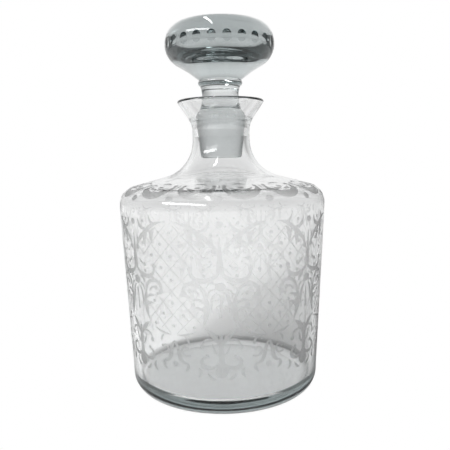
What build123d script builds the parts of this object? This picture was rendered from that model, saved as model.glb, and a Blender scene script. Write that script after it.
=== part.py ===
from build123d import *
import math
import os

# A stoppered glass decanter of about one litre: a thick-based bottle with a funnel
# mouth, and a solid glass stopper whose ground plug seats in the bottle's ground neck.
# Millimetres, +Z up. The origin is the centre of the underside, on the table.
# Both pieces are turned shapes, drawn as half sections of (radius, height) points.

# ---- Bottle, outside ----
BODY_RADIUS = 60.1  # widest, just below the shoulder
FOOT_RADIUS = 55.1  # at the heel, so the wall leans out as it rises
HEEL_CURVE = 10.5  # rounding from the underside into the wall
SHOULDER_Z = 110.0  # height where the wall starts to turn in
SHOULDER_CURVE = 11.0
SHOULDER_FALL = 15.0  # degrees that the shoulder drops away from the neck
NECK_RADIUS = 16.7
NECK_ROOT_CURVE = 22.0
FLARE_Z = 151.5  # where the neck starts to open into the funnel
FLARE_CURVE = 14.0
FLARE_LEAN = 34.0  # degrees of the funnel's wall from upright
RIM_RADIUS = 25.05
LIP_CURVE = 1.1  # fire-polished edge of the mouth

# ---- Bottle, inside ----
FLOOR_Z = 9.0  # thickness of the base
FLOOR_RADIUS = 51.6  # widest part of the cavity's rounded bottom corner
FLOOR_CURVE = 3.5
SHOULDER_WALL = 1.9
SEAT_TOP_Z = 158.2
SEAT_TOP_RADIUS = 14.7
SEAT_BOTTOM_Z = 148.5
SEAT_TAPER = 7.2  # degrees of the ground seat from upright

# ---- Stopper ----
FIT_GAP = 0.08  # radial, between the ground plug and the ground seat
PLUG_TOP_Z = 159.2
PLUG_BOTTOM_Z = 136.0
PLUG_EDGE_CURVE = 1.4
PLUG_CROWN = (13.9, 161.5)  # rounded step from the plug up to the shank
SHANK_FOOT = (12.2, 163.5)
SHANK_WAIST = (10.6, 170.3)
SHANK_TOP = (11.5, 177.4)
COLLAR_CREST = (12.8, 179.2)
COLLAR_TOP = (12.1, 180.9)
HEAD_RADIUS = 31.4
HEAD_Z = 200.2  # where the underside meets the head's upright rim
HEAD_BAND = 1.2  # height of that rim
HEAD_UPPER_CURVE = 11.7
HEAD_LOWER_CURVE = 12.0
UNDERSIDE_RISE = 28.0  # degrees from level, where the flare meets the head's rim
TOTAL_HEIGHT = 214.0

# ---- Thumbprint cuts round the head ----
CUT_COUNT = 24
CUT_Z = 200.8
CUT_DEPTH = 0.27
WHEEL_RADIUS = 150.0  # grinding wheel: sets each cut's height
WHEEL_EDGE_CURVE = 16.0  # its rounded rim: sets each cut's width


def on_circle(centre, radius, degrees):
    """Point of a circle in the half section, at an angle from the radial direction."""
    turn = math.radians(degrees)
    return (centre[0] + radius * math.cos(turn), centre[1] + radius * math.sin(turn))


def arc(centre, radius, start, end):
    return CenterArc(centre, radius, start, end - start)


def shared_tangent(low, low_radius, high, high_radius):
    """Angle at which one outward tangent touches a low circle and a high circle."""
    across = high[0] - low[0]
    rise = high[1] - low[1]
    lift = math.acos((low_radius - high_radius) / math.hypot(across, rise))
    return math.degrees(math.atan2(rise, across) - lift)


def lip_centre():
    """Centre of the lip's round edge, which the funnel's outer wall meets tangentially."""
    lean = math.radians(FLARE_LEAN)
    across = NECK_RADIUS + FLARE_CURVE - (RIM_RADIUS - LIP_CURVE)
    height = (FLARE_CURVE + LIP_CURVE - across * math.cos(lean)) / math.sin(lean)
    return (RIM_RADIUS - LIP_CURVE, FLARE_Z + height)


def lip_inner_angle(centre):
    """Angle at which the straight inside of the funnel leaves the lip's edge."""
    across = SEAT_TOP_RADIUS - centre[0]
    drop = SEAT_TOP_Z - centre[1]
    towards_seat = math.atan2(drop, across) % (2 * math.pi)
    return math.degrees(towards_seat - math.acos(LIP_CURVE / math.hypot(across, drop)))


def seat_radius(height):
    return SEAT_TOP_RADIUS - (SEAT_TOP_Z - height) * math.tan(math.radians(SEAT_TAPER))


def root_height(radius, curve, shoulder):
    """Height of the neck root's centre, so that its arc runs into a shoulder's slope."""
    fall = math.radians(SHOULDER_FALL)
    centre, shoulder_curve = shoulder
    slope = centre[0] * math.sin(fall) + centre[1] * math.cos(fall) + shoulder_curve
    return (slope + curve - (radius + curve) * math.sin(fall)) / math.cos(fall)


def inner_root_curve(radius, shoulder):
    """Radius of the arc from the bottom of the seat into the inside of the shoulder."""
    fall = math.radians(SHOULDER_FALL)
    centre, shoulder_curve = shoulder
    slope = centre[0] * math.sin(fall) + centre[1] * math.cos(fall) + shoulder_curve
    height = radius * math.sin(fall) + SEAT_BOTTOM_Z * math.cos(fall)
    return (height - slope) / (1 - math.sin(fall))


def draw_bottle_outside():
    """Line from the middle of the underside up to the lip."""
    heel = (FOOT_RADIUS - HEEL_CURVE, HEEL_CURVE)
    shoulder = (BODY_RADIUS - SHOULDER_CURVE, SHOULDER_Z)
    root_z = root_height(NECK_RADIUS, NECK_ROOT_CURVE, (shoulder, SHOULDER_CURVE))
    root = (NECK_RADIUS + NECK_ROOT_CURVE, root_z)
    flare = (NECK_RADIUS + FLARE_CURVE, FLARE_Z)
    lip = lip_centre()
    wall = shared_tangent(heel, HEEL_CURVE, shoulder, SHOULDER_CURVE)
    slope = 90 - SHOULDER_FALL
    Line((0, 0), (heel[0], 0))
    arc(heel, HEEL_CURVE, -90, wall)
    Line(on_circle(heel, HEEL_CURVE, wall), on_circle(shoulder, SHOULDER_CURVE, wall))
    arc(shoulder, SHOULDER_CURVE, wall, slope)
    Line(
        on_circle(shoulder, SHOULDER_CURVE, slope),
        on_circle(root, NECK_ROOT_CURVE, slope + 180),
    )
    arc(root, NECK_ROOT_CURVE, slope + 180, 180)
    Line((NECK_RADIUS, root_z), (NECK_RADIUS, FLARE_Z))
    arc(flare, FLARE_CURVE, 180, 180 - FLARE_LEAN)
    Line(
        on_circle(flare, FLARE_CURVE, 180 - FLARE_LEAN),
        on_circle(lip, LIP_CURVE, -FLARE_LEAN),
    )
    arc(lip, LIP_CURVE, -FLARE_LEAN, lip_inner_angle(lip))


def draw_bottle_inside():
    """Line from the lip down the seat and the cavity to the middle of the underside."""
    lip = lip_centre()
    shoulder = (BODY_RADIUS - SHOULDER_CURVE, SHOULDER_Z)
    shoulder_curve = SHOULDER_CURVE - SHOULDER_WALL
    seat_foot = seat_radius(SEAT_BOTTOM_Z)
    root_curve = inner_root_curve(seat_foot, (shoulder, shoulder_curve))
    root = (seat_foot + root_curve, SEAT_BOTTOM_Z)
    corner = (FLOOR_RADIUS - FLOOR_CURVE, FLOOR_Z + FLOOR_CURVE)
    wall = shared_tangent(corner, FLOOR_CURVE, shoulder, shoulder_curve)
    slope = 90 - SHOULDER_FALL
    Line(on_circle(lip, LIP_CURVE, lip_inner_angle(lip)), (SEAT_TOP_RADIUS, SEAT_TOP_Z))
    Line((SEAT_TOP_RADIUS, SEAT_TOP_Z), (seat_foot, SEAT_BOTTOM_Z))
    arc(root, root_curve, 180, slope + 180)
    Line(
        on_circle(root, root_curve, slope + 180),
        on_circle(shoulder, shoulder_curve, slope),
    )
    arc(shoulder, shoulder_curve, wall, slope)
    Line(on_circle(shoulder, shoulder_curve, wall), on_circle(corner, FLOOR_CURVE, wall))
    arc(corner, FLOOR_CURVE, -90, wall)
    Line((corner[0], FLOOR_Z), (0, FLOOR_Z))
    Line((0, FLOOR_Z), (0, 0))


def make_bottle():
    with BuildPart() as bottle:
        with BuildSketch(Plane.XZ):
            with BuildLine():
                draw_bottle_outside()
                draw_bottle_inside()
            make_face()
        revolve(axis=Axis.Z)
    return bottle.part


def draw_plug():
    """Ground plug: flat foot, rounded edge and a taper parallel to the seat."""
    top = seat_radius(PLUG_TOP_Z) - FIT_GAP
    foot = seat_radius(PLUG_BOTTOM_Z) - FIT_GAP
    edge_run = PLUG_EDGE_CURVE * math.tan(math.radians((90 - SEAT_TAPER) / 2))
    taper = math.radians(SEAT_TAPER)
    edge_start = (foot - edge_run, PLUG_BOTTOM_Z)
    edge_end = (
        foot + edge_run * math.sin(taper),
        PLUG_BOTTOM_Z + edge_run * math.cos(taper),
    )
    Line((0, PLUG_BOTTOM_Z), edge_start)
    TangentArc(edge_start, edge_end, tangent=(1, 0))
    Line(edge_end, (top, PLUG_TOP_Z))
    ThreePointArc((top, PLUG_TOP_Z), PLUG_CROWN, SHANK_FOOT)


def draw_shank():
    """Waisted shank and the moulded collar above it."""
    ThreePointArc(SHANK_FOOT, SHANK_WAIST, SHANK_TOP)
    ThreePointArc(SHANK_TOP, COLLAR_CREST, COLLAR_TOP)


def draw_head():
    """Mushroom head: flared underside, rounded rim and a shallow dome on top."""
    lower = (HEAD_RADIUS - HEAD_LOWER_CURVE, HEAD_Z)
    upper = (HEAD_RADIUS - HEAD_UPPER_CURVE, HEAD_Z + HEAD_BAND)
    rise = math.radians(UNDERSIDE_RISE)
    rim_foot = on_circle(lower, HEAD_LOWER_CURVE, UNDERSIDE_RISE - 90)
    crown = TOTAL_HEIGHT - upper[1]
    dome_curve = (crown**2 + upper[0] ** 2 - HEAD_UPPER_CURVE**2) / (
        2 * (crown - HEAD_UPPER_CURVE)
    )
    dome = (0, TOTAL_HEIGHT - dome_curve)
    dome_edge = 90 - math.degrees(math.asin(upper[0] / (dome_curve - HEAD_UPPER_CURVE)))
    TangentArc(rim_foot, COLLAR_TOP, tangent=(-math.cos(rise), -math.sin(rise)))
    arc(lower, HEAD_LOWER_CURVE, UNDERSIDE_RISE - 90, 0)
    Line((HEAD_RADIUS, lower[1]), (HEAD_RADIUS, upper[1]))
    arc(upper, HEAD_UPPER_CURVE, 0, dome_edge)
    arc(dome, dome_curve, dome_edge, 90)
    Line((0, TOTAL_HEIGHT), (0, PLUG_BOTTOM_Z))


def make_cutting_wheels():
    """Round-edged wheels standing upright round the head, one for each thumbprint."""
    upper = (HEAD_RADIUS - HEAD_UPPER_CURVE, HEAD_Z + HEAD_BAND)
    lift = math.degrees(math.asin((CUT_Z - upper[1]) / HEAD_UPPER_CURVE))
    reach = HEAD_UPPER_CURVE - CUT_DEPTH + WHEEL_RADIUS
    radius, height = on_circle(upper, reach, lift)
    wheel = Torus(WHEEL_RADIUS - WHEEL_EDGE_CURVE, WHEEL_EDGE_CURVE)
    upright = Pos(radius, 0, height) * Rot(90, 0, 0) * wheel
    step = 360 / CUT_COUNT
    return [Rot(0, 0, step * (index + 0.5)) * upright for index in range(CUT_COUNT)]


def make_stopper():
    with BuildPart() as blank:
        with BuildSketch(Plane.XZ):
            with BuildLine():
                draw_plug()
                draw_shank()
                draw_head()
            make_face()
        revolve(axis=Axis.Z)
    return blank.part - make_cutting_wheels()


os.makedirs("parts", exist_ok=True)
export_step(make_bottle(), "parts/bottle.step")
export_step(make_stopper(), "parts/stopper.step")
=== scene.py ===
import math
import bpy
from mathutils import Matrix, Quaternion, Vector, geometry


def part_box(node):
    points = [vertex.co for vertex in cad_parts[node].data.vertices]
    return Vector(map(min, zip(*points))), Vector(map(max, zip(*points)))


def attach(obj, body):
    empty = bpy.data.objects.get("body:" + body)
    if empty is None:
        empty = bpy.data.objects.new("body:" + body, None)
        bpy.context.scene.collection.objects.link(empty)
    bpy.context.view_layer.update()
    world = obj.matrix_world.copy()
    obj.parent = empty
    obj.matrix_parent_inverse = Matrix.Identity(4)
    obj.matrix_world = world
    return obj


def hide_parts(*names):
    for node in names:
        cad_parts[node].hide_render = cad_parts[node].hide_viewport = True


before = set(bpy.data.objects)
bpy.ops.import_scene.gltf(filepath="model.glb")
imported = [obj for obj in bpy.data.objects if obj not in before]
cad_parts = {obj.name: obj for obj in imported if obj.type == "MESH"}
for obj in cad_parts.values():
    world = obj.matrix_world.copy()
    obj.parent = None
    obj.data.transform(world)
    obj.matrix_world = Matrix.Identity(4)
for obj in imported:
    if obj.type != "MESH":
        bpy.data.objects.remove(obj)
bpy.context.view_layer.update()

# The decanter's looks: a bottle with a frosted scroll pattern, and its glass stopper.
# Both are turned shapes. Sizes are in millimetres, as (radius, height) in a half section,
# and become metres only when a mesh is made. The etched pattern is drawn in a flat strip
# of (across, up) millimetres that is wrapped round the bottle.

MM = 0.001
BOTTLE_LOW, BOTTLE_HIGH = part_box("bottle")
STOPPER_LOW, STOPPER_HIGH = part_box("stopper")

# ---- Bottle ----
BODY_RADIUS = (BOTTLE_HIGH.x - BOTTLE_LOW.x) / 2 / MM
RIM_Z = BOTTLE_HIGH.z / MM
FOOT_RADIUS = 55.1
HEEL_CURVE = 10.5  # rounding from the underside into the wall
SHOULDER_Z = 110.0  # where the wall starts to turn in
SHOULDER_CURVE = 11.0
SHOULDER_FALL = math.radians(15.0)  # of the shoulder's slope, from level
NECK_RADIUS = 16.7
NECK_ROOT_CURVE = 22.0
FLARE_Z = 151.5  # where the neck starts to open into the mouth
FLARE_CURVE = 14.0
FLARE_LEAN = math.radians(34.0)  # of the mouth's wall, from upright
LIP_CURVE = 1.1
RIM_RADIUS = 25.05
FLOOR_Z = 9.0  # thickness of the base
FLOOR_RADIUS = 51.6  # widest part of the inner floor's rounded corner
FLOOR_CURVE = 3.5
SHOULDER_WALL = 1.9  # thickness of the glass there
SEAT_TOP = (14.7, 158.2)  # upper edge of the ground seat in the neck
SEAT_BOTTOM_Z = 148.5
SEAT_TAPER = math.radians(7.2)  # from upright

# ---- Stopper ----
FIT_GAP = 0.08  # between the ground plug and the ground seat
PLUG_TOP_Z = 159.2
PLUG_BOTTOM_Z = STOPPER_LOW.z / MM
PLUG_EDGE_CURVE = 1.4
PLUG_CROWN = (13.9, 161.5)  # middle of the rounded step from the plug to the shank
SHANK_FOOT = (12.2, 163.5)
SHANK_WAIST = (10.6, 170.3)
SHANK_TOP = (11.5, 177.4)
COLLAR_CREST = (12.8, 179.2)
COLLAR_TOP = (12.1, 180.9)
HEAD_RADIUS = 31.4
HEAD_Z = 200.2  # foot of the head's upright rim
HEAD_BAND = 1.2  # height of that rim
HEAD_UPPER_CURVE = 11.7
HEAD_LOWER_CURVE = 12.0
UNDERSIDE_RISE = math.radians(28.0)  # from level, where the flare meets the head
STOPPER_TOP_Z = STOPPER_HIGH.z / MM
CUT_COUNT = 24
CUT_Z = 200.8
CUT_DEPTH = 0.27  # of a thumbprint's middle
WHEEL_RADIUS = 150.0  # of the grinding wheel, which sets each cut's height
WHEEL_EDGE_CURVE = 16.0  # of its rounded rim, which sets each cut's width
CUT_BAND = (-3.9, 5.1)  # stretch of the rim meshed round the cuts, from its lower arc's end
CUT_COLUMNS = 8
CUT_ROWS = 8
CUT_RINGS = 5  # of mesh in a thumbprint
LAND_RINGS = 3  # of mesh in the land round it

# ---- Etched pattern ----
REPEATS = 7  # cartouches round the body
COLUMNS = 9  # mesh columns in half a cartouche
STRIP_RADIUS = 58.0  # radius at which the flat strip's widths are true
HALF_TILE = math.pi * STRIP_RADIUS / REPEATS
ETCH_DEPTH = 0.08
TRELLIS_MIDDLE = 87.0  # height of one dot on the middle line of a panel
DIAMOND = (12.0, 12.2)  # width and height of the trellis's diamonds
ROW_HEIGHT = 3.2  # of the etched strip's mesh
PATTERN_TURN = math.radians(-1.5)  # the divider nearest the front, from straight ahead

# ---- Glass ----
ETCHED = 0.5  # values of the frost attribute, from 0 for polished to 1 for ground
GROUND = 1.0
GLASS_TINT = (0.758, 0.785, 0.787, 1.0)
GLASS_DENSITY = 54.0  # per metre
POLISHED_ROUGHNESS = 0.04  # at most, in the faint smears on the polished glass
MATT_ROUGHNESS = 0.3
ETCHED_TONE = 0.92  # how much light an etched surface lets through, seen straight on
ETCHED_EDGE_PAINTED_SHADE = 0.4  # and seen edge on, where painted shade darkens it
EDGE_ON = (0.08, 0.55)  # from facing the eye (0) to edge on (1), where that change runs
WAVE_HEIGHT = 0.16  # of the hand-blown glass's faint unevenness
WAVE_SCALE = 70.0  # this and the scales below are noise features per metre
SMEAR_SCALE = 55.0
GRAIN_SCALE = 2600.0
CLOUD_SCALE = 260.0
WEAR_SCALE = 120.0
RING_SCALE = 2200.0

# ---- Room ----
# The glass sees the floor and the room in these (place, grey) levels. Places on the floor
# are radii. In the room, 0 is left or down and 1 is right or up.
NEAR_FLOOR = 100.0  # radius that the floor's levels reach to
# painted shadow: the floor's own pale grey of 0.9, darkened in a ring just round the decanter's
# base
FLOOR_GREY_AND_PAINTED_SHADOW = ((0.0, 0.9), (53.0, 0.9), (56.5, 0.35), (60.0, 0.45), (75.0, 0.9))
# painted light: where the floor glows under the decanter's base
PAINTED_CAUSTIC_PATCH = ((0.0, 1.0), (48.0, 1.0), (54.0, 0.0))
CAUSTIC = 0.34  # strength of that patch, painted light: a glow on the floor that stands in for the light the base gathers under it
PAINTED_FAR_GLOW = 0.4  # painted light: a glow added to the floor that rises towards the backdrop
FAR_REACH = (0.15, 1.15)  # metres from the decanter, where that glow rises
SIDE_LIGHT = ((0.0, 0.7), (0.15, 0.75), (0.32, 1.0), (0.64, 1.0), (0.82, 0.5), (1.0, 0.45))
SKY_LIGHT = (
    (0.0, 0.9), (0.46, 0.82), (0.52, 0.84), (0.6, 0.95), (0.75, 1.1), (0.88, 0.5), (1.0, 0.3),
)
FRONT_LIGHT = 0.24  # how bright the room is behind the camera, against 1 behind the glass
FRONT_TO_BACK = (-0.3, 0.7)  # from in front (-1) to behind (1), where that change runs
STAGE_RADIUS = 3.0  # of the floor, in metres
STAGE_GAP = 0.0002  # between the floor and the decanter's underside, in metres

# ---- Lights, in metres and watts: place, aim, size, power ----
WINDOW = ((-0.85, -0.8, 0.9), (0.0, 0.0, 0.12), (1.2, 0.2), 10.0)
SKYLIGHT = ((-0.25, -0.1, 1.35), (-0.25, -0.1, 0.0), (0.08, 1.2), 4.0)
FLOOR_LIGHT = ((-0.67, -1.65, 0.95), (0.05, 0.2, 0.0), (0.4, 0.4), 28.0)

# ---- Camera ----
EYE_HEIGHT = 137.0
EYE_DISTANCE = 332.6
EYE_ACROSS = 1.4
EYE_PITCH = math.radians(6.97)
EYE_ROLL = math.radians(1.0)
LENS = 44.8


# ======== Half-section outlines ========
# An outline is walked with the glass on its left, so its outward normal is on its right.


def on_circle(centre, radius, angle):
    return (centre[0] + radius * math.cos(angle), centre[1] + radius * math.sin(angle))


class Straight:
    """A straight piece of an outline."""

    def __init__(self, start, end):
        self.start, self.end = start, end
        self.length = math.dist(start, end)
        self.normal = (
            (end[1] - start[1]) / self.length,
            (start[0] - end[0]) / self.length,
        )

    def at(self, distance):
        part = distance / self.length
        radius = self.start[0] + (self.end[0] - self.start[0]) * part
        height = self.start[1] + (self.end[1] - self.start[1]) * part
        return (radius, height), self.normal


class Arc:
    """An arc of an outline, which may turn either way."""

    def __init__(self, centre, radius, start, end):
        self.centre, self.radius = centre, radius
        self.first, self.sweep = start, end - start
        self.length = radius * abs(self.sweep)
        self.start = on_circle(centre, radius, start)
        self.end = on_circle(centre, radius, end)

    def at(self, distance):
        angle = self.first + self.sweep * distance / self.length
        side = math.copysign(1.0, self.sweep)
        normal = (side * math.cos(angle), side * math.sin(angle))
        return on_circle(self.centre, self.radius, angle), normal


def arc_through(start, middle, end):
    """Arc through three points."""
    ax, ay = start
    bx, by = middle[0] - ax, middle[1] - ay
    cx, cy = end[0] - ax, end[1] - ay
    scale = 2 * (bx * cy - by * cx)
    ux = (cy * (bx * bx + by * by) - by * (cx * cx + cy * cy)) / scale
    uy = (bx * (cx * cx + cy * cy) - cx * (bx * bx + by * by)) / scale
    centre = (ax + ux, ay + uy)
    first = math.atan2(-uy, -ux)
    last = math.atan2(end[1] - centre[1], end[0] - centre[0])
    turn = (last - first) % (2 * math.pi)
    if bx * cy - by * cx < 0:
        turn -= 2 * math.pi
    return Arc(centre, math.hypot(ux, uy), first, first + turn)


def arc_from(start, direction, end):
    """Arc that leaves start along a direction and ends at end."""
    chord = (end[0] - start[0], end[1] - start[1])
    side = (-direction[1], direction[0])
    across = chord[0] * side[0] + chord[1] * side[1]
    radius = (chord[0] ** 2 + chord[1] ** 2) / (2 * across)
    centre = (start[0] + side[0] * radius, start[1] + side[1] * radius)
    first = math.atan2(start[1] - centre[1], start[0] - centre[0])
    last = math.atan2(end[1] - centre[1], end[0] - centre[0])
    turn = (last - first) % (2 * math.pi)
    if radius < 0:
        turn -= 2 * math.pi
    return Arc(centre, abs(radius), first, first + turn)


def shared_tangent(low, low_radius, high, high_radius):
    """Angle at which one outward tangent touches a low circle and a high circle."""
    across, rise = high[0] - low[0], high[1] - low[1]
    lift = math.acos((low_radius - high_radius) / math.hypot(across, rise))
    return math.atan2(rise, across) - lift


def seat_radius(height):
    return SEAT_TOP[0] - (SEAT_TOP[1] - height) * math.tan(SEAT_TAPER)


HEEL = (FOOT_RADIUS - HEEL_CURVE, HEEL_CURVE)
SHOULDER = (BODY_RADIUS - SHOULDER_CURVE, SHOULDER_Z)
SLOPE = math.pi / 2 - SHOULDER_FALL
LIP = (RIM_RADIUS - LIP_CURVE, RIM_Z - LIP_CURVE)


def slope_height(curve):
    """Offset of the shoulder's sloping line from the origin, for a shoulder radius."""
    fall = SHOULDER_FALL
    return SHOULDER[0] * math.sin(fall) + SHOULDER[1] * math.cos(fall) + curve


def outer_wall():
    """From the top of the heel's rounding, up the wall, to the start of the neck."""
    wall = shared_tangent(HEEL, HEEL_CURVE, SHOULDER, SHOULDER_CURVE)
    fall = SHOULDER_FALL
    root_x = NECK_RADIUS + NECK_ROOT_CURVE
    lift = slope_height(SHOULDER_CURVE) + NECK_ROOT_CURVE - root_x * math.sin(fall)
    root = (root_x, lift / math.cos(fall))
    shoulder = Arc(SHOULDER, SHOULDER_CURVE, wall, SLOPE)
    root_arc = Arc(root, NECK_ROOT_CURVE, SLOPE + math.pi, math.pi)
    return [
        Straight(on_circle(HEEL, HEEL_CURVE, wall), shoulder.start),
        shoulder,
        Straight(shoulder.end, root_arc.start),
        root_arc,
    ]


def outer_base():
    """From the middle of the underside round the heel."""
    wall = shared_tangent(HEEL, HEEL_CURVE, SHOULDER, SHOULDER_CURVE)
    return [
        Straight((0.0, 0.0), (HEEL[0], 0.0)),
        Arc(HEEL, HEEL_CURVE, -math.pi / 2, wall),
    ]


def neck_and_inside():
    """From the neck over the lip and down the inside to the middle of the floor."""
    start = outer_wall()[-1].end
    flare = Arc((NECK_RADIUS + FLARE_CURVE, FLARE_Z), FLARE_CURVE, math.pi,
                math.pi - FLARE_LEAN)
    drop = (SEAT_TOP[0] - LIP[0], SEAT_TOP[1] - LIP[1])
    towards_seat = math.atan2(drop[1], drop[0]) % (2 * math.pi)
    lip_end = towards_seat - math.acos(LIP_CURVE / math.hypot(*drop))
    lip = Arc(LIP, LIP_CURVE, -FLARE_LEAN, lip_end)
    seat_foot = seat_radius(SEAT_BOTTOM_Z)
    inner_curve = SHOULDER_CURVE - SHOULDER_WALL
    fall = SHOULDER_FALL
    height = seat_foot * math.sin(fall) + SEAT_BOTTOM_Z * math.cos(fall)
    root_curve = (height - slope_height(inner_curve)) / (1 - math.sin(fall))
    root = Arc((seat_foot + root_curve, SEAT_BOTTOM_Z), root_curve, math.pi, SLOPE + math.pi)
    corner = (FLOOR_RADIUS - FLOOR_CURVE, FLOOR_Z + FLOOR_CURVE)
    wall = shared_tangent(corner, FLOOR_CURVE, SHOULDER, inner_curve)
    shoulder = Arc(SHOULDER, inner_curve, SLOPE, wall)
    floor_corner = Arc(corner, FLOOR_CURVE, wall, -math.pi / 2)
    return [
        Straight(start, flare.start),
        flare,
        Straight(flare.end, lip.start),
        lip,
        Straight(lip.end, SEAT_TOP),
        Straight(SEAT_TOP, (seat_foot, SEAT_BOTTOM_Z)),
        root,
        Straight(root.end, shoulder.start),
        shoulder,
        Straight(shoulder.end, floor_corner.start),
        floor_corner,
        Straight(floor_corner.end, (0.0, FLOOR_Z)),
    ]


def stopper_plug():
    """From the middle of the plug's foot to the top of its taper."""
    top = seat_radius(PLUG_TOP_Z) - FIT_GAP
    foot = seat_radius(PLUG_BOTTOM_Z) - FIT_GAP
    run = PLUG_EDGE_CURVE * math.tan((math.pi / 2 - SEAT_TAPER) / 2)
    edge_start = (foot - run, PLUG_BOTTOM_Z)
    edge_end = (
        foot + run * math.sin(SEAT_TAPER),
        PLUG_BOTTOM_Z + run * math.cos(SEAT_TAPER),
    )
    return [
        Straight((0.0, PLUG_BOTTOM_Z), edge_start),
        arc_from(edge_start, (1.0, 0.0), edge_end),
        Straight(edge_end, (top, PLUG_TOP_Z)),
    ]


GROUND_PART = 2  # the ground taper's place in that list


def stopper_neck():
    """From the top of the plug, up the shank and the collar, and out to the head's rim."""
    top = seat_radius(PLUG_TOP_Z) - FIT_GAP
    lower = (HEAD_RADIUS - HEAD_LOWER_CURVE, HEAD_Z)
    rim_foot = on_circle(lower, HEAD_LOWER_CURVE, UNDERSIDE_RISE - math.pi / 2)
    inwards = (-math.cos(UNDERSIDE_RISE), -math.sin(UNDERSIDE_RISE))
    flare = arc_from(rim_foot, inwards, COLLAR_TOP)
    return [
        arc_through((top, PLUG_TOP_Z), PLUG_CROWN, SHANK_FOOT),
        arc_through(SHANK_FOOT, SHANK_WAIST, SHANK_TOP),
        arc_through(SHANK_TOP, COLLAR_CREST, COLLAR_TOP),
        Arc(flare.centre, flare.radius, flare.first + flare.sweep, flare.first),
    ]


def head_rim():
    """The rounded rim that carries the thumbprint cuts, and the dome above it."""
    lower = (HEAD_RADIUS - HEAD_LOWER_CURVE, HEAD_Z)
    upper = (HEAD_RADIUS - HEAD_UPPER_CURVE, HEAD_Z + HEAD_BAND)
    crown = STOPPER_TOP_Z - upper[1]
    dome_curve = (crown**2 + upper[0] ** 2 - HEAD_UPPER_CURVE**2) / (
        2 * (crown - HEAD_UPPER_CURVE)
    )
    edge = math.pi / 2 - math.asin(upper[0] / (dome_curve - HEAD_UPPER_CURVE))
    rim = [
        Arc(lower, HEAD_LOWER_CURVE, UNDERSIDE_RISE - math.pi / 2, 0.0),
        Straight((HEAD_RADIUS, lower[1]), (HEAD_RADIUS, upper[1])),
        Arc(upper, HEAD_UPPER_CURVE, 0.0, edge),
    ]
    dome = Arc((0.0, STOPPER_TOP_Z - dome_curve), dome_curve, edge, math.pi / 2)
    return rim, dome


# ======== Mesh building ========


class Shell:
    """Collects a mesh's vertices by key, and its faces with a normal at each corner."""

    def __init__(self):
        self.keys = {}
        self.points = []
        self.faces = []
        self.normals = []
        self.frost = []

    def vertex(self, key, point):
        if key not in self.keys:
            self.keys[key] = len(self.points)
            self.points.append(point)
        return self.keys[key]

    def face(self, corners, frost=0.0):
        """corners: (vertex number, normal) in order round the face, seen from outside."""
        numbers = [number for number, _ in corners]
        kept = [c for i, c in enumerate(corners) if numbers[i] != numbers[i - 1]]
        if len(kept) < 3:
            return
        self.faces.append([number for number, _ in kept])
        self.normals.extend(normal for _, normal in kept)
        self.frost.append(frost)

    def make(self, name, material):
        mesh = bpy.data.meshes.new(name)
        metres = [(x * MM, y * MM, z * MM) for x, y, z in self.points]
        mesh.from_pydata(metres, [], self.faces)
        mesh.polygons.foreach_set("use_smooth", [True] * len(self.faces))
        mesh.materials.append(material)
        mesh.attributes.new("frost", "FLOAT", "FACE").data.foreach_set("value", self.frost)
        mesh.update()
        mesh.normals_split_custom_set(self.normals)
        piece = bpy.data.objects.new(name, mesh)
        bpy.context.scene.collection.objects.link(piece)
        return piece


def turned(point, angle):
    """A half-section point carried round the axis."""
    return (point[0] * math.sin(angle), -point[0] * math.cos(angle), point[1])


def turned_normal(normal, angle):
    return (normal[0] * math.sin(angle), -normal[0] * math.cos(angle), normal[1])


def stops(part, arc_step, line_step):
    """Distances along a part at which a ring of vertices is made."""
    if isinstance(part, Arc):
        count = max(2, math.ceil(abs(part.sweep) / arc_step))
    else:
        count = max(1, math.ceil(part.length / line_step))
    return [part.length * index / count for index in range(count + 1)]


def lathe(shell, parts, columns, name, first=None, last=None, arc_step=math.radians(6),
          line_step=25.0, phase=0.0, ground=None):
    """Turns outline parts into rings of faces. first and last name the end rings' keys,
    and ground is the place in the list of a part with a ground finish."""
    rings = []
    for place, part in enumerate(parts):
        distances = stops(part, arc_step, line_step)
        for index, (near, far) in enumerate(zip(distances, distances[1:])):
            start = first if place == 0 and index == 0 else (name, place, index)
            if index + 1 < len(distances) - 1:
                end = (name, place, index + 1)
            elif place + 1 < len(parts):
                end = (name, place + 1, 0)
            else:
                end = last
            rings.append((start, part.at(near), end, part.at(far), place))
    for start, (low, low_normal), end, (high, high_normal), place in rings:
        frost = GROUND if place == ground else 0.0
        for column in range(columns):
            corners = []
            for key, point, normal, step in (
                (start, low, low_normal, 0),
                (start, low, low_normal, 1),
                (end, high, high_normal, 1),
                (end, high, high_normal, 0),
            ):
                angle = phase + 2 * math.pi * (column + step) / columns
                around = 0 if point[0] < 1e-9 else (column + step) % columns
                number = shell.vertex((key, around), turned(point, angle))
                corners.append((number, turned_normal(normal, angle)))
            shell.face(corners, frost)


# ======== Etched pattern, drawn flat ========
# Across is measured from the middle of a divider, and up is the height on the wall.


def curve(start, bend, end, count=14):
    """Points of a quadratic curve."""
    points = []
    for index in range(count + 1):
        t = index / count
        a, b, c = (1 - t) ** 2, 2 * t * (1 - t), t * t
        points.append((
            a * start[0] + b * bend[0] + c * end[0],
            a * start[1] + b * bend[1] + c * end[1],
        ))
    return points


def spiral(centre, wide, narrow, start, end, stretch=1.0):
    """Points of an arc, in degrees, whose radius shrinks evenly from wide to narrow."""
    count = max(6, int(abs(end - start) / 15))
    points = []
    for index in range(count + 1):
        t = index / count
        angle = math.radians(start + (end - start) * t)
        radius = wide + (narrow - wide) * t
        points.append((
            centre[0] + radius * stretch * math.cos(angle),
            centre[1] + radius * math.sin(angle),
        ))
    return points


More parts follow.
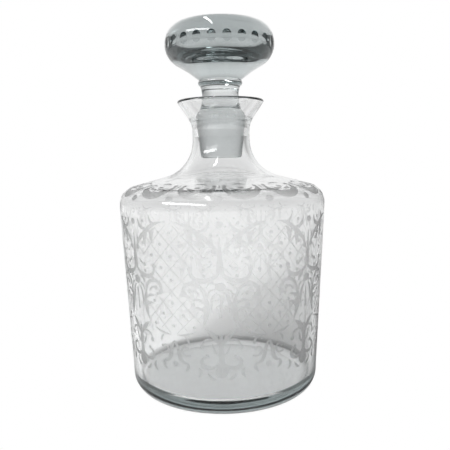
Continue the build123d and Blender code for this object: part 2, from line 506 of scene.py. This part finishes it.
def stroke(points, start_width, middle_width, end_width):
    """Outline of a pen stroke along points whose width swells to the middle."""
    left, right = [], []
    last = len(points) - 1
    for index, (x, y) in enumerate(points):
        before, after = points[max(index - 1, 0)], points[min(index + 1, last)]
        dx, dy = after[0] - before[0], after[1] - before[1]
        size = math.hypot(dx, dy)
        t = index / last
        ends = start_width + (end_width - start_width) * t
        swell = math.sin(math.pi * t)
        half = (ends + (middle_width - ends) * swell) / 2
        left.append((x - dy / size * half, y + dx / size * half))
        right.append((x + dy / size * half, y - dx / size * half))
    return left + right[::-1]


def dot(centre, radius, stretch=1.0, count=12):
    turns = (2 * math.pi * index / count for index in range(count))
    return [
        (centre[0] + radius * stretch * math.cos(t), centre[1] + radius * math.sin(t))
        for t in turns
    ]


def leaf(points, width):
    """A stroke that is pointed at both ends."""
    return stroke(points, 0.3, width, 0.3)


def scroll(points, root_width, swell_width, ball_radius):
    """A stroke that swells and ends in a ball."""
    return [stroke(points, root_width, swell_width, 1.0), dot(points[-1], ball_radius)]


def divider():
    """The flower, scrolls and stem that stand between two panels."""
    shapes = [
        dot((0.0, 72.3), 2.3, 1.2, 16),
        stroke([(0.0, 56.0), (0.0, 62.0), (0.0, 68.0)], 1.5, 1.0, 0.5),
        stroke([(0.0, 79.5), (0.0, 88.0), (0.0, 98.0)], 4.2, 2.4, 0.5),
        leaf(curve((1.5, 69.4), (5.2, 67.4), (4.4, 58.6)), 1.7),
        leaf(curve((2.6, 71.0), (6.4, 70.6), (6.4, 66.8)), 1.2),
        leaf(curve((3.0, 74.5), (6.0, 75.0), (7.0, 71.5)), 1.3),
        dot((0.0, 104.0), 1.7, 1.1),
        leaf(curve((1.6, 89.0), (4.0, 92.0), (3.6, 97.0)), 1.2),
    ]
    cup = curve((0.6, 79.6), (3.0, 76.0), (8.6, 75.3)) + curve(
        (8.6, 75.3), (15.0, 74.9), (15.4, 81.2))[1:]
    shapes += scroll(cup, 1.4, 2.5, 1.4)
    shapes += [dot((8.1, 81.4), 1.15), dot((8.4, 77.9), 1.0)]
    shapes += [leaf(curve((4.0, 84.5), (5.2, 82.0), (8.1, 81.6)), 1.1)]
    arch = curve((7.6, 63.0), (7.6, 71.4), (12.4, 73.2)) + curve(
        (12.4, 73.2), (17.4, 74.6), (19.0, 71.4))[1:] + curve(
        (19.0, 71.4), (20.4, 67.6), (16.6, 66.6))[1:]
    shapes += scroll(arch, 1.6, 2.0, 0.9)
    shapes += [stroke(arch[-12:-2], 0.6, 3.2, 0.6)]
    shapes += [dot((15.8, 69.8), 1.2), leaf(curve((15.8, 69.8), (12.8, 70.6), (10.6, 67.6)), 1.2)]
    shapes += [
        leaf(curve((7.6, 67.0), (5.4, 61.0), (9.4, 51.0)), 3.2),
        leaf(curve((8.2, 63.0), (10.5, 66.3), (14.2, 65.0)), 1.4),
        leaf(curve((8.4, 59.0), (10.8, 62.0), (13.6, 60.8)), 1.3),
    ]
    return shapes


def panel_frame():
    """The bowed frame below a panel and the scrolled one above it."""
    bowl = curve((13.4, 48.2), (18.0, 45.8), (24.2, 45.6))
    crown = curve((22.6, 104.8), (17.0, 104.6), (11.4, 99.8)) + curve(
        (11.4, 99.8), (2.6, 94.0), (3.0, 90.4))[1:]
    shapes = [stroke(bowl, 0.4, 1.3, 0.4)]
    shapes += scroll(crown, 0.4, 2.4, 1.4)
    shapes += [
        leaf(curve((17.6, 101.8), (13.4, 98.6), (15.2, 93.2)), 2.6),
        leaf(curve((12.0, 99.6), (8.4, 96.6), (10.0, 91.0)), 2.6),
        leaf(curve((19.0, 103.4), (14.0, 103.4), (13.6, 108.2)), 1.5),
        leaf(curve((13.0, 101.0), (5.4, 99.4), (4.8, 106.0)), 1.9),
        dot((9.0, 104.6), 0.9),
        leaf(curve((20.0, 45.8), (16.8, 42.8), (17.6, 41.0)), 1.5),
    ]
    return shapes


def fringe():
    """Hooks, balls and crescents that hang below the frames."""
    shapes = [
        stroke([(0.0, 47.0), (0.0, 40.0), (0.0, 33.0), (0.0, 27.0)], 1.6, 3.2, 5.0),
        dot((0.0, 27.0), 3.3, 1.1, 16),
        leaf(curve((0.8, 41.0), (3.0, 47.0), (8.6, 50.0)), 3.0),
        leaf(curve((1.0, 36.0), (4.2, 38.0), (4.8, 42.4)), 1.4),
        leaf(curve((4.0, 44.6), (9.4, 45.2), (10.4, 41.0)), 1.3),
        dot((10.2, 40.4), 1.4),
        dot((HALF_TILE, 29.6), 1.6, 1.1),
        leaf(curve((20.4, 26.0), (17.0, 28.6), (19.4, 31.2)), 2.0),
        leaf(curve((13.0, 23.6), (9.8, 26.0), (12.4, 29.0)), 2.0),
        leaf(curve((7.6, 26.4), (6.0, 23.0), (3.0, 22.6)), 1.6),
    ]
    hook = curve((1.6, 31.0), (5.4, 27.8), (9.6, 30.0)) + curve(
        (9.6, 30.0), (12.2, 33.4), (7.6, 35.4))[1:]
    shapes += scroll(hook, 1.4, 2.2, 1.1)
    crook = curve((16.6, 35.2), (20.6, 33.8), (21.8, 37.2)) + curve(
        (21.8, 37.2), (21.0, 40.6), (18.2, 38.6))[1:]
    shapes += scroll(crook, 0.8, 1.4, 0.9)
    side = curve((HALF_TILE, 42.4), (24.0, 40.0), (23.4, 35.0)) + curve(
        (23.4, 35.0), (22.6, 30.6), (18.8, 30.6))[1:]
    return shapes + [stroke(side, 0.8, 2.4, 0.6)]


def shoulder_ring():
    """One scallop of the ring round the shoulder, with its dots and leaves."""
    bowl = spiral((13.0, 127.6), 8.8, 8.8, 165.0, 375.0, 1.15)
    shapes = [stroke(bowl, 1.0, 5.0, 1.0), dot(bowl[0], 1.4), dot(bowl[-1], 1.4)]
    shapes += [
        dot((0.0, 116.6), 1.8, 1.25),
        dot((HALF_TILE, 116.6), 1.8, 1.25),
        dot((13.0, 127.0), 1.5, 1.25),
        leaf(curve((6.0, 127.0), (8.6, 123.4), (12.0, 124.4)), 1.8),
        leaf(curve((19.7, 127.0), (17.1, 123.4), (13.7, 124.4)), 1.8),
        leaf(curve((8.4, 131.6), (12.86, 134.6), (17.3, 131.6)), 1.5),
        leaf(curve((-1.6, 122.0), (0.0, 128.0), (0.0, 131.0)), 1.4),
        leaf(curve((27.3, 122.0), (HALF_TILE, 128.0), (HALF_TILE, 131.0)), 1.4),
    ]
    return shapes


def in_panel(x, y):
    """Whether a point lies in the trellis and clear of the scrolls."""
    if not 46.0 < y < 103.4 or x > HALF_TILE + 0.5:
        return False
    if y < 62.0:
        return x > 7.0 + 16.0 * ((62.0 - y) / 16.0) ** 2.6
    if y > 91.0:
        return x > 4.6 + 14.0 * ((y - 91.0) / 12.0) ** 1.5
    in_arch = math.hypot((x - 14.0) / 6.8, (y - 69.4) / 5.2) < 1 or (y < 73.0 and x < 10.0)
    in_cup = math.hypot((x - 8.2) / 7.6, (y - 80.4) / 6.6) < 1 or x < 3.0
    return not (in_arch or in_cup)


def trellis():
    """Crossed hairlines with a dot in each diamond, and no line over a scroll."""
    shapes = []
    wide, high = DIAMOND
    for rank in range(-8, 9):
        for slant in (1, -1):
            run = []
            for index in range(241):
                y = 44.0 + index * 0.25
                rise = (y - TRELLIS_MIDDLE) / high
                x = HALF_TILE + wide * (rank + 0.5 - slant * rise)
                if in_panel(x, y):
                    run.append((x, y))
                else:
                    if len(run) > 4:
                        shapes.append(stroke([run[0], run[-1]], 0.34, 0.34, 0.34))
                    run = []
    for row in range(-6, 3):
        for column in range(-4, 1):
            if (row + column) % 2 == 0:
                spot = (HALF_TILE + column * wide / 2, TRELLIS_MIDDLE + row * high / 2)
                if in_panel(*spot):
                    shapes.append(dot(spot, 0.95, 1.1, 10))
    return shapes


def pattern():
    """Every etched shape in half a cartouche, and the halves of those on its borders."""
    return divider() + panel_frame() + fringe() + shoulder_ring() + trellis()


# ======== Bottle ========


def strip_angle(across):
    return PATTERN_TURN + across / STRIP_RADIUS


def walk(parts, distance):
    """Point and normal at a distance along an outline."""
    for part in parts:
        if distance <= part.length:
            return part.at(distance)
        distance -= part.length
    return parts[-1].at(parts[-1].length)


def encloses(shape, x, y):
    """Whether a closed outline winds round a point."""
    winds = 0
    for (ax, ay), (bx, by) in zip(shape, shape[1:] + shape[:1]):
        if (ay <= y) != (by <= y):
            side = (bx - ax) * (y - ay) - (x - ax) * (by - ay)
            if by > ay and side > 0:
                winds += 1
            elif by < ay and side < 0:
                winds -= 1
    return winds != 0


def strip_mesh(shapes, foot, height):
    """Triangles of half a tile, cut along the shapes' outlines, and which are etched."""
    rows = round(height / ROW_HEIGHT)
    points = []
    for row in range(rows + 1):
        for column in range(COLUMNS + 1):
            points.append(Vector((HALF_TILE * column / COLUMNS, height * row / rows)))
    border = list(range(COLUMNS))
    border += [row * (COLUMNS + 1) + COLUMNS for row in range(rows)]
    border += [rows * (COLUMNS + 1) + column for column in range(COLUMNS, 0, -1)]
    border += [row * (COLUMNS + 1) for row in range(rows, 0, -1)]
    edges = []
    for shape in shapes:
        count, start = len(shape), len(points)
        edges += [(start + i, start + (i + 1) % count) for i in range(count)]
        points.extend(Vector((x, y - foot)) for x, y in shape)
    found = geometry.delaunay_2d_cdt(points, edges, [border], 1, 1e-4, True)
    flat, triangles, sources = found[0], found[2], found[5]
    bounds = [(min(x for x, _ in shape), max(x for x, _ in shape),
               min(y for _, y in shape), max(y for _, y in shape)) for shape in shapes]
    kept = []
    for triangle, source in zip(triangles, sources):
        if not source:
            continue
        x = sum(flat[n].x for n in triangle) / 3
        y = sum(flat[n].y for n in triangle) / 3 + foot
        low = any(
            left < x < right and bottom < y < top and encloses(shape, x, y)
            for shape, (left, right, bottom, top) in zip(shapes, bounds)
        )
        kept.append((triangle, low))
    return flat, kept


def wrap_strip(shell, parts, shapes, first, last):
    """Wraps the etched half tile round the wall, mirrored in turn, 2 * REPEATS times."""
    height = sum(part.length for part in parts)
    flat, triangles = strip_mesh(shapes, parts[0].start[1], height)
    edge = 1e-3
    etched = {n for triangle, low in triangles if low for n in triangle}
    plain = {n for triangle, low in triangles if not low for n in triangle}
    spots = [walk(parts, min(max(p.y, 0.0), height)) for p in flat]
    columns = 2 * REPEATS * COLUMNS
    for tile in range(2 * REPEATS):
        mirrored = tile % 2 == 1

        def corner(number, low):
            x, y = flat[number]
            across = (tile + 1) * HALF_TILE - x if mirrored else tile * HALF_TILE + x
            angle = strip_angle(across)
            point, normal = spots[number]
            if y < edge or y > height - edge:
                column = round(across / HALF_TILE * COLUMNS) % columns
                key = (first if y < edge else last, column)
            elif x < edge or x > HALF_TILE - edge:
                key = ("side", round(across / HALF_TILE) % (2 * REPEATS), number)
            else:
                key = ("tile", tile, number)
            if low:
                key = ("low", key)
                point = (
                    point[0] - normal[0] * ETCH_DEPTH,
                    point[1] - normal[1] * ETCH_DEPTH,
                )
            return shell.vertex(key, turned(point, angle)), turned_normal(normal, angle)

        edges = {}
        for triangle, low in triangles:
            order = triangle[::-1] if mirrored else triangle
            shell.face([corner(n, low) for n in order], ETCHED if low else 0.0)
            for a, b in zip(order, order[1:] + order[:1]):
                if a in etched and a in plain and b in etched and b in plain:
                    edges.setdefault((a, b), low)
        for (a, b), low in edges.items():
            if low and edges.get((b, a)) is False:
                step_face(shell, corner(a, False), corner(b, False),
                          corner(b, True), corner(a, True))


def step_face(shell, a, b, c, d):
    """The tiny wall between the polished surface and the etched one."""
    p, q, r = (Vector(shell.points[n]) for n in (a[0], b[0], c[0]))
    normal = tuple((q - p).cross(r - q).normalized())
    shell.face([(n, normal) for n in (a[0], b[0], c[0], d[0])], ETCHED)


def build_bottle(material):
    shell = Shell()
    columns = 2 * REPEATS * COLUMNS
    wall = outer_wall()
    turn = PATTERN_TURN
    lathe(shell, outer_base(), columns, "base", "foot", "wall foot", phase=turn)
    wrap_strip(shell, wall[:3], pattern(), "wall foot", "root foot")
    lathe(shell, wall[3:], columns, "root", "root foot", "neck foot", phase=turn)
    lathe(shell, neck_and_inside(), columns, "inside", "neck foot", "floor", phase=turn)
    return shell.make("bottle_glass", material)


# ======== Stopper ========


def trimmed(part, start, end):
    """The stretch of an arc between two distances along it."""
    first = part.first + part.sweep * start / part.length
    last = part.first + part.sweep * end / part.length
    return Arc(part.centre, part.radius, first, last)


def wheel_place():
    """Centre of a cutting wheel, from its depth of cut at the middle of a thumbprint."""
    upper = (HEAD_RADIUS - HEAD_UPPER_CURVE, HEAD_Z + HEAD_BAND)
    lift = math.asin((CUT_Z - upper[1]) / HEAD_UPPER_CURVE)
    return on_circle(upper, HEAD_UPPER_CURVE - CUT_DEPTH + WHEEL_RADIUS, lift)


def wheel_gap(point, wheel):
    """Distance from the wheel's surface (below zero inside it), and the way out of it."""
    x, y, z = point[0] - wheel[0], point[1], point[2] - wheel[1]
    reach = math.hypot(x, z)
    ring = WHEEL_RADIUS - WHEEL_EDGE_CURVE
    tube = (ring * x / reach, 0.0, ring * z / reach)
    away = Vector((x - tube[0], y - tube[1], z - tube[2]))
    return away.length - WHEEL_EDGE_CURVE, away.normalized()


def head_spot(rim, distance, angle):
    """Point and normal on the rim, with x outwards through the thumbprint's middle."""
    (radius, height), normal = walk(rim, distance)
    point = Vector((radius * math.cos(angle), radius * math.sin(angle), height))
    out = Vector((normal[0] * math.cos(angle), normal[0] * math.sin(angle), normal[1]))
    return point, out


def last_true(test, high):
    """The value up to which a test holds, between zero and high."""
    low = 0.0
    for _ in range(30):
        middle = (low + high) / 2
        if test(middle):
            low = middle
        else:
            high = middle
    return low


def cut_spot(rim, distance, angle, wheel):
    """Point and normal on the thumbprint's hollow, below a point of the rim."""
    point, out = head_spot(rim, distance, angle)
    depth = last_true(lambda step: wheel_gap(point - out * step, wheel)[0] < 0, 2.0)
    point = point - out * depth
    return point, -wheel_gap(point, wheel)[1]


def sector_border():
    """Points round the edge of a sector's square, which runs from -1 to 1 both ways."""
    half = [(-1 + 2 * index / CUT_COLUMNS, -1) for index in range(CUT_COLUMNS)]
    half += [(1, -1 + 2 * index / CUT_ROWS) for index in range(CUT_ROWS)]
    return half + [(-x, -y) for x, y in half]


def border_key(sector, x, y):
    """Key of a vertex on a sector's edge, shared with its neighbours."""
    column = sector * CUT_COLUMNS + round((x + 1) / 2 * CUT_COLUMNS)
    column %= CUT_COUNT * CUT_COLUMNS
    if y == -1:
        return ("cut foot", column)
    if y == 1:
        return ("cut top", column)
    return ("cut side", column, round((y + 1) * CUT_ROWS))


def cut_rim(shell, rim):
    """The band of thumbprints. Each sector's mesh follows its oval's sharp edge."""
    wheel = wheel_place()
    border = sector_border()
    start = rim[0].length + CUT_BAND[0]
    half_height = (CUT_BAND[1] - CUT_BAND[0]) / 2

    def place(x, y):
        return start + (y + 1) * half_height, x * math.pi / CUT_COUNT

    def is_cut(x, y):
        return wheel_gap(head_spot(rim, *place(x, y))[0], wheel)[0] < 0

    edges = [last_true(lambda s: is_cut(x * s, y * s), 1.0) for x, y in border]
    hollow, land = [], []
    for (x, y), edge in zip(border, edges):
        shares = [edge * ring / CUT_RINGS for ring in range(CUT_RINGS + 1)]
        hollow.append([cut_spot(rim, *place(x * s, y * s), wheel) for s in shares])
        shares = [edge + (1 - edge) * ring / LAND_RINGS for ring in range(LAND_RINGS + 1)]
        land.append([head_spot(rim, *place(x * s, y * s)) for s in shares])
    for sector in range(CUT_COUNT):
        spin = Matrix.Rotation(2 * math.pi * (sector + 0.5) / CUT_COUNT - math.pi / 2, 3, "Z")

        def corner(spots, index, ring):
            index %= len(border)
            point, normal = spots[index][ring]
            level = ring if spots is hollow else ring + CUT_RINGS
            key = ("cut ring", sector, level, index)
            if level == 0:
                key = ("cut middle", sector)
            elif level == CUT_RINGS + LAND_RINGS:
                key = border_key(sector, *border[index])
            return shell.vertex(key, tuple(spin @ point)), tuple(spin @ normal)

        for spots, rings in ((hollow, CUT_RINGS), (land, LAND_RINGS)):
            for ring in range(rings):
                for index in range(len(border)):
                    shell.face([
                        corner(spots, index, ring),
                        corner(spots, index, ring + 1),
                        corner(spots, index + 1, ring + 1),
                        corner(spots, index + 1, ring),
                    ])


def build_stopper(material):
    shell = Shell()
    columns = CUT_COUNT * CUT_COLUMNS
    rim, dome = head_rim()
    lower = trimmed(rim[0], 0.0, rim[0].length + CUT_BAND[0])
    upper = trimmed(rim[2], CUT_BAND[1] - rim[1].length, rim[2].length)
    lathe(shell, stopper_plug(), columns, "plug", "plug foot", "plug top",
          ground=GROUND_PART)
    lathe(shell, stopper_neck(), columns, "shank", "plug top", "head foot")
    lathe(shell, [lower], columns, "lower", "head foot", "cut foot")
    cut_rim(shell, rim)
    lathe(shell, [upper, dome], columns, "dome", "cut top", "dome top",
          arc_step=math.radians(3))
    return shell.make("stopper_glass", material)


# ======== Node helpers ========


def add(tree, kind, **values):
    """A new node with the values of its settings or its inputs."""
    node = tree.nodes.new(kind)
    for name, value in values.items():
        if hasattr(node, name):
            setattr(node, name, value)
        else:
            node.inputs[name.replace("_", " ")].default_value = value
    return node


def feed(tree, value, socket):
    """Sets a socket to a number, or links another node's output to it."""
    if isinstance(value, float):
        socket.default_value = value
    else:
        tree.links.new(value, socket)


def spread(tree, value, **limits):
    """A value carried from one range to another."""
    node = add(tree, "ShaderNodeMapRange", **limits)
    feed(tree, value, node.inputs["Value"])
    return node.outputs[0]


def maths(tree, operation, first, second):
    node = add(tree, "ShaderNodeMath", operation=operation)
    feed(tree, first, node.inputs[0])
    feed(tree, second, node.inputs[1])
    return node.outputs[0]


def blend(tree, share, first, second):
    """The first value where share is 0, and the second where it is 1."""
    node = add(tree, "ShaderNodeMix")
    feed(tree, share, node.inputs[0])
    feed(tree, first, node.inputs[2])
    feed(tree, second, node.inputs[3])
    return node.outputs[0]


def noise(tree, vector, scale, detail, low, high):
    """A noise between two values."""
    texture = add(tree, "ShaderNodeTexNoise", Scale=scale, Detail=detail)
    feed(tree, vector, texture.inputs["Vector"])
    return spread(tree, texture.outputs[0], From_Min=0.3, From_Max=0.7, To_Min=low,
                  To_Max=high)


def grey_ramp(tree, value, levels, reach=1.0):
    """The grey at a value that runs from 0 to 1, from (place, grey) levels in which
    places run from 0 to reach."""
    node = add(tree, "ShaderNodeValToRGB")
    elements = node.color_ramp.elements
    elements.remove(elements[1])
    elements[0].position = levels[0][0] / reach
    elements[0].color = (levels[0][1],) * 3 + (1.0,)
    for place, grey in levels[1:]:
        elements.new(place / reach).color = (grey, grey, grey, 1.0)
    feed(tree, value, node.inputs[0])
    return node.outputs[0]


def added(tree, first, second):
    """The light of two shaders together."""
    both = add(tree, "ShaderNodeAddShader")
    feed(tree, first.outputs[0], both.inputs[0])
    feed(tree, second.outputs[0], both.inputs[1])
    return both


def show(tree, seen, lit, output):
    """One shader for the camera to see, and another for the glass to see."""
    path = add(tree, "ShaderNodeLightPath")
    mix = add(tree, "ShaderNodeMixShader")
    feed(tree, path.outputs["Is Camera Ray"], mix.inputs[0])
    feed(tree, lit.outputs[0], mix.inputs[1])
    feed(tree, seen.outputs[0], mix.inputs[2])
    feed(tree, mix.outputs[0], output.inputs[0])


# ======== Glass ========


def roughness(tree, place, is_matt):
    """Faint smears on the polished glass, and a fine grain on the matt glass."""
    smear = noise(tree, place, SMEAR_SCALE, 3.0, 0.0, POLISHED_ROUGHNESS)
    grain = noise(tree, place, GRAIN_SCALE, 2.0, 0.8, 1.2)
    return blend(tree, is_matt, smear, maths(tree, "MULTIPLY", grain, MATT_ROUGHNESS))


def etched_tone(tree, place):
    """Etched glass is darkened edge on by painted shade, and slightly clouded."""
    facing = add(tree, "ShaderNodeLayerWeight", Blend=0.5).outputs["Facing"]
    edge_on = spread(tree, facing, From_Min=EDGE_ON[0], From_Max=EDGE_ON[1],
                     To_Min=ETCHED_TONE, To_Max=ETCHED_EDGE_PAINTED_SHADE)
    cloud = noise(tree, place, CLOUD_SCALE, 4.0, 0.95, 1.03)
    return maths(tree, "MULTIPLY", edge_on, cloud)


def ground_tone(tree, place):
    """Ground glass has the fine rings of grinding, and patches of wear."""
    height = add(tree, "ShaderNodeSeparateXYZ")
    feed(tree, place, height.inputs[0])
    rings = add(tree, "ShaderNodeTexNoise", noise_dimensions="1D", Scale=RING_SCALE,
                Detail=2.0)
    feed(tree, height.outputs["Z"], rings.inputs["W"])
    ring_tone = spread(tree, rings.outputs[0], From_Min=0.3, From_Max=0.7, To_Min=0.97)
    worn = noise(tree, place, WEAR_SCALE, 4.0, 0.96, 1.03)
    return maths(tree, "MULTIPLY", ring_tone, worn)


def uneven_normal(tree, place):
    """The faint unevenness of hand-blown glass."""
    swell = add(tree, "ShaderNodeTexNoise", Scale=WAVE_SCALE, Detail=1.0)
    bump = add(tree, "ShaderNodeBump", Strength=0.5, Distance=WAVE_HEIGHT * MM)
    feed(tree, place, swell.inputs["Vector"])
    feed(tree, swell.outputs[0], bump.inputs["Height"])
    return bump.outputs[0]


def glass_material(name):
    """Glass that darkens with the length of the light's way through it. The frost
    attribute says where it is polished, etched or ground."""
    material = bpy.data.materials.new(name)
    material.use_nodes = True
    tree = material.node_tree
    shader = tree.nodes["Principled BSDF"]
    shader.inputs["IOR"].default_value = 1.5
    shader.inputs["Transmission Weight"].default_value = 1.0
    place = add(tree, "ShaderNodeTexCoord").outputs["Object"]
    frost = add(tree, "ShaderNodeAttribute", attribute_name="frost").outputs["Fac"]
    is_matt = maths(tree, "GREATER_THAN", frost, ETCHED / 2)
    is_ground = maths(tree, "GREATER_THAN", frost, (ETCHED + GROUND) / 2)
    matt_tone = blend(tree, is_ground, etched_tone(tree, place), ground_tone(tree, place))
    tone = blend(tree, is_matt, 1.0, matt_tone)
    colour = add(tree, "ShaderNodeCombineColor")
    for socket in colour.inputs[:3]:
        feed(tree, tone, socket)
    body = add(tree, "ShaderNodeVolumeAbsorption", Color=GLASS_TINT, Density=GLASS_DENSITY)
    feed(tree, colour.outputs[0], shader.inputs["Base Color"])
    feed(tree, roughness(tree, place, is_matt), shader.inputs["Roughness"])
    feed(tree, uneven_normal(tree, place), shader.inputs["Normal"])
    feed(tree, body.outputs[0], tree.nodes["Material Output"].inputs["Volume"])
    return material


# ======== Studio ========


def make_camera():
    data = bpy.data.cameras.new("photo_camera")
    data.lens = LENS
    data.sensor_width = 36.0
    camera = bpy.data.objects.new("photo_camera", data)
    camera.location = (EYE_ACROSS * MM, -EYE_DISTANCE * MM, EYE_HEIGHT * MM)
    aim = Vector((0.0, math.cos(EYE_PITCH), -math.sin(EYE_PITCH)))
    camera.rotation_mode = "QUATERNION"
    turn = aim.to_track_quat("-Z", "Y")
    camera.rotation_quaternion = turn @ Quaternion((0.0, 0.0, 1.0), -EYE_ROLL)
    bpy.context.scene.collection.objects.link(camera)
    bpy.context.scene.camera = camera


def make_world():
    """White to the camera. The glass sees a room that is bright behind and dim in front."""
    world = bpy.data.worlds.new("studio")
    bpy.context.scene.world = world
    world.use_nodes = True
    tree = world.node_tree
    tree.nodes.clear()
    direction = add(tree, "ShaderNodeSeparateXYZ")
    feed(tree, add(tree, "ShaderNodeTexCoord").outputs["Generated"], direction.inputs[0])
    across = spread(tree, direction.outputs["X"], From_Min=-1.0)
    height = spread(tree, direction.outputs["Z"], From_Min=-1.0)
    depth = spread(tree, direction.outputs["Y"], interpolation_type="SMOOTHSTEP",
                   From_Min=FRONT_TO_BACK[0], From_Max=FRONT_TO_BACK[1],
                   To_Min=FRONT_LIGHT)
    strength = maths(tree, "MULTIPLY", depth, grey_ramp(tree, across, SIDE_LIGHT))
    seen = add(tree, "ShaderNodeBackground", Color=(1.0, 1.0, 1.0, 1.0))
    around = add(tree, "ShaderNodeBackground")
    feed(tree, grey_ramp(tree, height, SKY_LIGHT), around.inputs["Color"])
    feed(tree, strength, around.inputs["Strength"])
    show(tree, seen, around, add(tree, "ShaderNodeOutputWorld"))


def floor_material():
    """Plain white to the camera. The glass sees a pale floor as it is lit, with a painted shadow
    ring round the base, a painted glow under the base and a painted glow rising towards the far
    floor.
    """
    material = bpy.data.materials.new("pale_floor")
    material.use_nodes = True
    tree = material.node_tree
    tree.nodes.clear()
    length = add(tree, "ShaderNodeVectorMath", operation="LENGTH")
    feed(tree, add(tree, "ShaderNodeTexCoord").outputs["Object"], length.inputs[0])
    distance = length.outputs["Value"]
    near = spread(tree, distance, From_Max=NEAR_FLOOR * MM)
    far = spread(tree, distance, interpolation_type="SMOOTHSTEP", From_Min=FAR_REACH[0],
                 From_Max=FAR_REACH[1], To_Max=PAINTED_FAR_GLOW)
    # The diffuse grey carries the painted shadow ring. The two emissions are painted light, not
    # lamps.
    paint = add(tree, "ShaderNodeBsdfDiffuse")
    painted_caustic = add(tree, "ShaderNodeEmission", Strength=CAUSTIC)
    painted_glow = add(tree, "ShaderNodeEmission")
    feed(tree, grey_ramp(tree, near, FLOOR_GREY_AND_PAINTED_SHADOW, NEAR_FLOOR), paint.inputs["Color"])
    feed(tree, grey_ramp(tree, near, PAINTED_CAUSTIC_PATCH, NEAR_FLOOR), painted_caustic.inputs["Color"])
    feed(tree, far, painted_glow.inputs["Strength"])
    lit = added(tree, added(tree, paint, painted_caustic), painted_glow)
    seen = add(tree, "ShaderNodeEmission", Color=(1.0, 1.0, 1.0, 1.0), Strength=1.0)
    show(tree, seen, lit, add(tree, "ShaderNodeOutputMaterial"))
    return material


def make_floor():
    bpy.ops.mesh.primitive_circle_add(vertices=96, radius=STAGE_RADIUS, fill_type="NGON")
    floor = bpy.context.object
    floor.name = "floor"
    floor.location.z = -STAGE_GAP
    floor.data.materials.append(floor_material())


def make_light(name, place, aim, size, power, mirrored=True):
    """A soft box. One that isn't mirrored only lights the floor."""
    data = bpy.data.lights.new(name, "AREA")
    data.shape = "RECTANGLE"
    data.size, data.size_y = size
    data.energy = power
    light = bpy.data.objects.new(name, data)
    light.location = place
    light.rotation_mode = "QUATERNION"
    light.rotation_quaternion = (Vector(aim) - Vector(place)).to_track_quat("-Z", "Y")
    light.visible_glossy = mirrored
    light.visible_transmission = mirrored
    bpy.context.scene.collection.objects.link(light)


make_camera()
make_world()
make_floor()
make_light("window", *WINDOW)
make_light("skylight", *SKYLIGHT)
make_light("floor_light", *FLOOR_LIGHT, mirrored=False)

bottle = build_bottle(glass_material("bottle_glass"))
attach(bottle, "bottle")
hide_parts("bottle")

stopper = build_stopper(glass_material("stopper_glass"))
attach(stopper, "stopper")
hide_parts("stopper")

scene = bpy.context.scene
scene.view_settings.view_transform = "Standard"
scene.cycles.max_bounces = 24
scene.cycles.transmission_bounces = 24
scene.cycles.glossy_bounces = 12
scene.cycles.transparent_max_bounces = 16
scene.cycles.sample_clamp_indirect = 4.0
